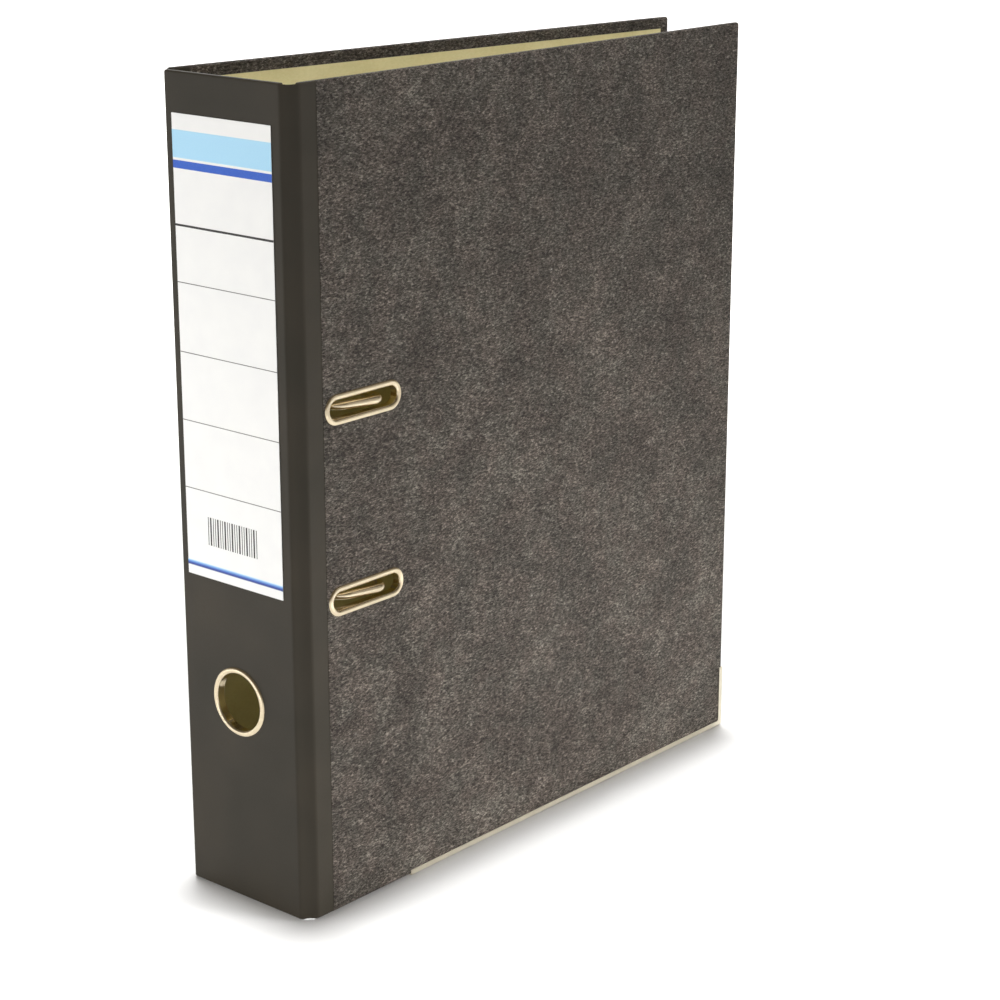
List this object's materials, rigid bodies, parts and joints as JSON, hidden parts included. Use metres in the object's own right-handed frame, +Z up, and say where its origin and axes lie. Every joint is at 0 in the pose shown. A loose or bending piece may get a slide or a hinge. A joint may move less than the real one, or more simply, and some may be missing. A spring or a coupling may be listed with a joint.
{
  "type": "lever arch file",
  "caption": "Upright foolscap lever arch file: covered boards hinged to a labelled spine with a finger ring, slotted front cover, and a lever-worked arch mechanism inside.",
  "frame": {"origin": "centre of the closed file's box on the surface it stands on", "axes": "+Z up along the spine; the spine faces -Y and the covers' open edges are at +Y; the front cover, with the slots, is on +X and the back cover, with the mechanism, on -X"},
  "size_m": [0.0749, 0.2906, 0.346],
  "materials": {
    "greyboard": "plain pressed greyboard",
    "spine_paper": "smooth black covering paper with a fine grain",
    "marbled_paper": "dark grey cloud-marbled covering paper with an embossed grain",
    "cream_paper": "matt cream lining paper",
    "label_paper": "smooth white printed label",
    "nickel": "polished nickel plate with a warm tint",
    "edge_nickel": "satin nickel-plated strip",
    "steel": "nickel-plated pressed steel",
    "spring_steel": "blued spring steel",
    "black_plastic": "moulded black plastic"
  },
  "bodies": {
    "spine": {"spine_board": "greyboard", "spine_covering": "spine_paper", "spine_lining": "cream_paper", "spine_label": "label_paper", "front_hinge_strip": "spine_paper", "back_hinge_strip": "spine_paper", "finger_ring": "nickel", "finger_ring_washer": "nickel"},
    "front_cover": {"front_board": "greyboard", "front_covering": "marbled_paper", "front_hinge_band": "spine_paper", "front_lining": "cream_paper", "front_metal_edge": "edge_nickel", "slot_eyelet_lower": "nickel", "slot_eyelet_upper": "nickel", "slot_washer_lower": "nickel", "slot_washer_upper": "nickel"},
    "back_cover": {"back_board": "greyboard", "back_covering": "marbled_paper", "back_hinge_band": "spine_paper", "back_lining": "cream_paper", "back_metal_edge": "edge_nickel", "base_plate": "steel", "post_lower": "nickel", "post_upper": "nickel", "rivet_lower_inner": "nickel", "rivet_lower_outer": "nickel", "rivet_upper_inner": "nickel", "rivet_upper_outer": "nickel", "lift_spring": "spring_steel", "lever_bracket": "steel", "lever_pin": "steel"},
    "arches": {"arch_wire": "nickel"},
    "lever": {"lever": "steel", "roller_pin": "steel"},
    "roller": {"roller": "black_plastic"},
    "paper_clamp": {"clamp_bar": "steel", "clamp_grip_lower": "black_plastic", "clamp_grip_upper": "black_plastic"}
  },
  "joints": [
    {"name": "front_cover_hinge", "type": "hinge", "parent": "spine", "child": "front_cover", "pos_m": [0.0344, -0.1418, 0], "axis": [0, 0, -1], "range_deg": [0, 90], "deforming": ["front_hinge_strip"]},
    {"name": "back_cover_hinge", "type": "hinge", "parent": "spine", "child": "back_cover", "pos_m": [-0.0344, -0.1418, 0], "axis": [0, 0, 1], "range_deg": [0, 96], "deforming": ["back_hinge_strip"]},
    {"name": "lever_lift", "type": "hinge", "parent": "back_cover", "child": "lever", "pos_m": [-0.01852, -0.10758, 0.204], "axis": [-0.1132, -0.9936, 0], "range_deg": [0, 66]},
    {"name": "arch_swing", "type": "hinge", "parent": "back_cover", "child": "arches", "pos_m": [-0.0255, -0.11584, 0.1354], "axis": [0, 0, -1], "range_deg": [0, 13]},
    {"name": "roller_spin", "type": "hinge", "parent": "lever", "child": "roller", "pos_m": [-0.02001, -0.10741, 0.19], "axis": [0.1132, 0.9936, 0], "continuous": true},
    {"name": "clamp_slide", "type": "slide", "parent": "back_cover", "child": "paper_clamp", "axis": [0.9936, -0.1132, 0], "range_m": [0, 0.034]}
  ],
  "couplings": [
    {"joint": "arch_swing", "follows": "lever_lift", "ratio": 0.19697}
  ]
}
